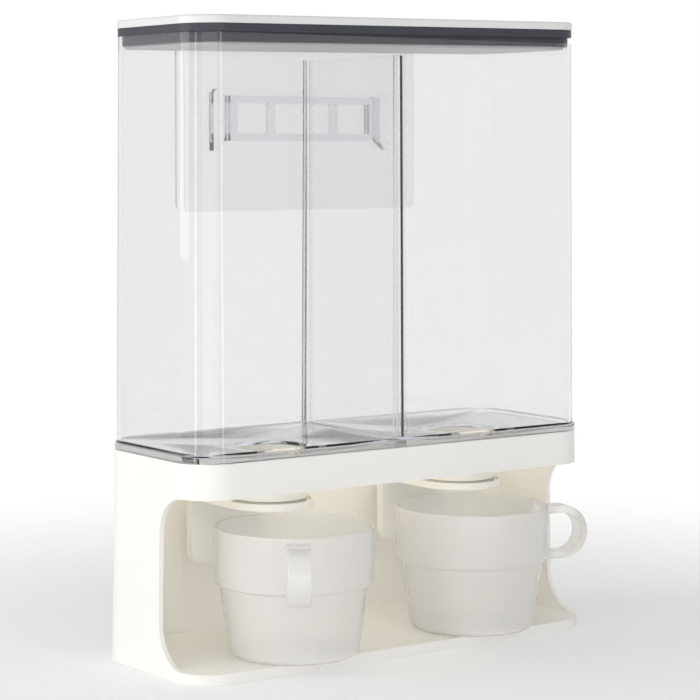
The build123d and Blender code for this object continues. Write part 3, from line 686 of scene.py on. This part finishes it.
profile_object = bpy.data.objects.new("ring_section", profile_data)

tree, given = geometry_tree("silicone_ring", {
    "Width": ("Float", 0.264), "Depth": ("Float", 0.094), "Corner Radius": ("Float", 0.019),
    "Section": ("Object", None), "Silicone": ("Material", None)})
path_line = grow(tree, "GeometryNodeCurvePrimitiveQuadrilateral", {
    "Width": given["Width"], "Height": given["Depth"]})
path_line = grow(tree, "GeometryNodeFilletCurve", {
    "Curve": path_line, "Radius": given["Corner Radius"], "Count": 24, "Limit Radius": True}, mode="POLY")
info = tree.nodes.new("GeometryNodeObjectInfo")
tree.links.new(given["Section"], info.inputs["Object"])
ring = grow(tree, "GeometryNodeCurveToMesh", {
    "Curve": path_line, "Profile Curve": info.outputs["Geometry"]})
finish_tree(tree, ring, given["Silicone"])
ring = grown_mesh(tree, width=container_high[0] - container_low[0] - 2 * rim_inset,
                  depth=flange_depth - 2 * rim_inset, corner_radius=corner_radius, section=profile_object,
                  silicone=SILICONE)
work = bmesh.new()
work.from_mesh(ring)
bmesh.ops.recalc_face_normals(work, faces=work.faces)
ring = bpy.data.meshes.new("ring")
work.to_mesh(ring)
work.free()
ring = softened(ring, 0.08 * MM, 2, 40)
left_end = Vector((container_low[0] + rim_inset, 0, rim))
ring.transform(Matrix.Translation((0, 0, rim)))
ring.transform(Matrix.Translation(left_end) @ Matrix.Rotation(-lid_tilt, 4, "Y")
               @ Matrix.Translation(-left_end))
add_piece("silicone_ring", ring, "lid", SILICONE, ["lid_gasket"])


# ================================================================ stacking cups
# Two cups moulded in milky polypropylene, with a step under the upper band and a loop handle.
# The wall lets through a soft blurred view of what stands behind it.

def milky_plastic(name, light, shade, clarity, roughness):
    """Translucent polypropylene: cloudy, satin, with flow marks and a little wear on its rims."""
    material, tree, shader = blank_material(name)
    grain = group_node(tree, GRAIN, grain_size=0.9, grain_depth=0.12, waviness=0.2)
    rub = group_node(tree, RUB, reach=0.8, amount=0.7)["Mask"]
    worn = group_node(tree, SCUFFS, scratch_size=1.3, amount=0.12)["Mask"]
    tone = blend_colour(tree, spread(tree, grain["Tone"], 0.0, 1.0), light, shade)
    tree.links.new(tone, shader.inputs["Base Color"])
    rough = spread(tree, grain["Gloss"], roughness - 0.04, roughness + 0.05)
    rough = calculate(tree, "MULTIPLY_ADD", worn, 0.1, rough)
    rough = calculate(tree, "SUBTRACT", rough, calculate(tree, "MULTIPLY", rub, 0.1))
    tree.links.new(rough, shader.inputs["Roughness"])
    tree.links.new(grain["Normal"], shader.inputs["Normal"])
    path = tree.nodes.new("ShaderNodeLightPath")
    lamp_ray = calculate(tree, "MAXIMUM", path.outputs["Is Shadow Ray"], path.outputs["Is Diffuse Ray"])
    solid = calculate(tree, "MULTIPLY_ADD", lamp_ray, -0.6, 1.0)
    tree.links.new(solid, shader.inputs["Alpha"])
    shader.inputs["Transmission Weight"].default_value = clarity
    shader.inputs["IOR"].default_value = 1.35
    return material


MILKY = milky_plastic("milky_polypropylene", (0.945, 0.94, 0.932), (0.93, 0.925, 0.917), 0.66, 0.16)


def round_corner(middle, radius, first, last, steps=8):
    """Points of an arc in a half outline, between two angles in degrees."""
    angles = [radians(first + (last - first) * k / steps) for k in range(steps + 1)]
    return [(middle[0] + radius * cos(a), middle[1] + radius * sin(a)) for a in angles]


def handle_loop(wide, thick, edge, route):
    """Strap with rounded edges along a route of (reach, height, thickening) in the cup's XZ plane."""
    corners = []
    for out, up, first in ((1, 1, 0), (-1, 1, 90), (-1, -1, 180), (1, -1, 270)):
        middle = (out * (thick / 2 - edge), up * (wide / 2 - edge))
        corners += round_corner(middle, edge, first, first + 90, 4)
    work = bmesh.new()
    rings = []
    for k, (reach, height, swell) in enumerate(route):
        before = route[max(k - 1, 0)]
        after = route[min(k + 1, len(route) - 1)]
        run, rise = after[0] - before[0], after[1] - before[1]
        length = hypot(run, rise)
        normal = (-rise / length, run / length)
        rings.append([work.verts.new((reach + normal[0] * off * swell, side * (0.6 + 0.4 * swell),
                                      height + normal[1] * off * swell)) for off, side in corners])
    count = len(corners)
    for ring, following in zip(rings, rings[1:]):
        for k in range(count):
            work.faces.new([ring[k], ring[(k + 1) % count], following[(k + 1) % count], following[k]])
    work.faces.new(rings[0])
    work.faces.new(rings[-1])
    bmesh.ops.recalc_face_normals(work, faces=work.faces)
    mesh = bpy.data.meshes.new("strap")
    work.to_mesh(mesh)
    work.free()
    return mesh


def scaled(points):
    """Outline in metres from one in millimetres."""
    return [tuple(value * MM for value in point) for point in points]


outside = [(0, 0.5), (30.2, 0.5), (30.8, 0.06), *round_corner((31.54, 4.0), 4.0, -90, -8.3),
           (40.5, 37.9), (40.75, 38.6), (42.85, 39.75), (43.2, 40.1), (43.33, 40.7), (43.97, 69.2),
           (43.9, 69.65), (43.6, 69.95), (43.2, 70.0), (0, 70.0)]
inside = [(0, 1.8), *round_corner((30.69, 5.05), 3.25, -90, -8.3), (39.05, 38.1), (39.3, 38.8),
          (41.35, 40.0), (41.7, 40.4), (41.84, 41.0), (42.47, 69.2), (42.55, 69.7), (42.9, 70.01),
          (42.9, 72.0), (0, 72.0)]
handle_low, handle_high, handle_end, handle_bend = 38.2, 64.8, 68.8, 13.2
loop = [(42.0, handle_high, 1.35), (44.4, handle_high, 1.22), (46.0, handle_high, 1.06),
        (48.5, handle_high, 1.0)]
loop += [(x, z, 1.0) for x, z in round_corner((handle_end - handle_bend, handle_high - handle_bend),
                                              handle_bend, 90, 0, 14)]
loop += [(x, z, 1.0) for x, z in round_corner((handle_end - handle_bend, handle_low + handle_bend),
                                              handle_bend, 0, -90, 14)]
loop += [(48.5, handle_low, 1.0), (45.0, handle_low, 1.06), (43.0, handle_low, 1.22),
         (39.2, handle_low, 1.35)]
strap_width, strap_thickness, strap_edge = 12.6 * MM, 4.4 * MM, 1.1 * MM
strap = handle_loop(strap_width, strap_thickness, strap_edge,
                    [(x * MM, z * MM, swell) for x, z, swell in loop])
cup_mesh = joined(lathe(scaled(outside), 128), strap, "UNION")
cup_mesh = joined(cup_mesh, lathe(scaled(inside), 128), "DIFFERENCE")
cup_mesh.shade_smooth()
cup_mesh.set_sharp_from_angle(angle=radians(38))

rim_radius = 44 * MM
for side, turn in (("left", -122), ("right", -15)):    # degrees that each handle turns about the cup
    cup = "cup_" + side
    low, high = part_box(cup)
    middle_x = low[0] + rim_radius if side == "right" else high[0] - rim_radius
    middle_y = high[1] - rim_radius
    shape = cup_mesh.copy()
    shape.transform(Matrix.Translation((middle_x, middle_y, low[2])) @ Matrix.Rotation(radians(turn), 4, "Z"))
    add_piece("stacking_" + cup, shape, cup, MILKY, [cup])


# ================================================================ wall hook
# A clear stick-on sheet carries a ladder-shaped clear hook that the container's rails slide over.
# The sheet's back is coated with clear adhesive, so it is a little greyer than the mouldings.

HOOK_RESIN = clear_resin("hook_resin", (0.87, 0.88, 0.915), (0.86, 0.87, 0.905), 0.05, 0.2, 1.45)
FILM = clear_resin("hook_film", (0.905, 0.905, 0.91), (0.89, 0.89, 0.895), 0.12, 0.2, 1.5)
add_piece("hook_ladder", eased("hook_plate", 0.3 * MM), "wall_hook", HOOK_RESIN,
          ["hook_plate"])
add_piece("stick_on_sheet", eased("adhesive_sheet", 0.1 * MM), "wall_hook", FILM,
          ["adhesive_sheet"])


# ================================================================ table, light and camera
# A white sweep under a soft dome, with two upright softboxes beside the camera, a key light from
# the left, a fill from the front and a small warm lamp under the deck that lights the cup bay.

floor_mesh = bpy.data.meshes.new("table")
work = bmesh.new()
bmesh.ops.create_circle(work, cap_ends=True, segments=96, radius=1.6)
work.to_mesh(floor_mesh)
work.free()
table = bpy.data.objects.new("table", floor_mesh)
bpy.context.scene.collection.objects.link(table)
table_white, tree, shader = blank_material("table_white")
shader.inputs["Base Color"].default_value = (0.93, 0.93, 0.93, 1.0)
shader.inputs["Roughness"].default_value = 0.75
where = place(tree, "ShaderNodeTexCoord").outputs["Object"]
away = tree.nodes.new("ShaderNodeVectorMath")
away.operation = "LENGTH"
tree.links.new(where, away.inputs[0])
fade = remap(tree, away.outputs["Value"], 0.12, 0.6, 0.75, 0.0, interpolation_type="SMOOTHSTEP")
tree.links.new(fade, shader.inputs["Alpha"])
floor_mesh.materials.append(table_white)
table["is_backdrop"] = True

scene = bpy.context.scene
world = bpy.data.worlds.new("studio")
scene.world = world
world.use_nodes = True
tree = world.node_tree
tree.nodes.clear()
sky_out = tree.nodes.new("ShaderNodeOutputWorld")
where = place(tree, "ShaderNodeTexCoord").outputs["Generated"]
height = place(tree, "ShaderNodeSeparateXYZ", vector=where).outputs["Z"]
overhead = remap(tree, height, 0.0, 0.8, 0.30, 0.60)
underfoot = remap(tree, height, -0.4, 0.0, 0.7, 0.0)
glow = calculate(tree, "ADD", overhead, underfoot)
dome = place(tree, "ShaderNodeBackground", strength=glow)
dome.inputs["Color"].default_value = (1.0, 0.995, 0.985, 1.0)
backdrop = place(tree, "ShaderNodeBackground", strength=1.0)
backdrop.inputs["Color"].default_value = (1.0, 1.0, 1.0, 1.0)
path = tree.nodes.new("ShaderNodeLightPath")
straight = calculate(tree, "MAXIMUM", path.outputs["Is Camera Ray"], path.outputs["Is Transmission Ray"])
shine = calculate(tree, "MULTIPLY", path.outputs["Is Glossy Ray"], 0.5)
straight = calculate(tree, "MAXIMUM", straight, shine)
pick = tree.nodes.new("ShaderNodeMixShader")
tree.links.new(straight, pick.inputs[0])
tree.links.new(dome.outputs[0], pick.inputs[1])
tree.links.new(backdrop.outputs[0], pick.inputs[2])
tree.links.new(pick.outputs[0], sky_out.inputs["Surface"])

camera_data = bpy.data.cameras.new("camera")
camera = bpy.data.objects.new("camera", camera_data)
scene.collection.objects.link(camera)
camera.location = (-0.7544, -1.0435, 0.2805)
camera_bearing = radians(-35.81)
camera.rotation_euler = (radians(90 - 3.08), 0, camera_bearing)
camera_data.sensor_width = 36.0
camera_data.lens = 117.43
camera_data.shift_y = -0.1143
scene.camera = camera
camera_turn = Matrix.Rotation(camera_bearing, 4, "Z")


def panel_lamp(name, width, length, power, colour=(1.0, 1.0, 1.0)):
    """Rectangular light that the camera doesn't see."""
    data = bpy.data.lights.new(name, "AREA")
    data.shape = "RECTANGLE"
    data.size = width
    data.size_y = length
    data.energy = power
    data.color = colour
    lamp = bpy.data.objects.new(name, data)
    scene.collection.objects.link(lamp)
    lamp.visible_camera = False
    lamp.visible_transmission = False
    return lamp


def softbox(name, bearing, distance, height, width, length, power, aim_height=0.18):
    """Rectangular light at a bearing from the camera's line, facing the object."""
    lamp = panel_lamp(name, width, length, power)
    lamp.location = camera_turn @ Matrix.Rotation(radians(bearing), 4, "Z") @ Vector((0, -distance, 0))
    lamp.location.z = height
    lamp.rotation_euler = (Vector((0, 0, aim_height)) - lamp.location).to_track_quat("-Z", "Y").to_euler()


softbox("strip_left", -38, 1.3, 0.45, 0.12, 1.1, 2.2)
softbox("strip_right", 38, 1.3, 0.45, 0.12, 1.1, 1.8)
softbox("key", -75, 1.4, 0.6, 0.9, 0.9, 7.2)
softbox("front_fill", 4, 1.5, 0.2, 1.2, 0.9, 5.0, 0.05)
bay_lamp = panel_lamp("bay_fill", 0.24, 0.08, 0.06, (1.0, 0.91, 0.72))
bay_lamp.location = (0.0, -2 * MM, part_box("base_housing")[1][2] - 3.2 * MM)
bay_lamp.visible_glossy = False

scene.view_settings.view_transform = "Standard"
scene.cycles.max_bounces = 24
scene.cycles.transmission_bounces = 20
scene.cycles.transparent_max_bounces = 24
scene.cycles.diffuse_bounces = 8

low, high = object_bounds()
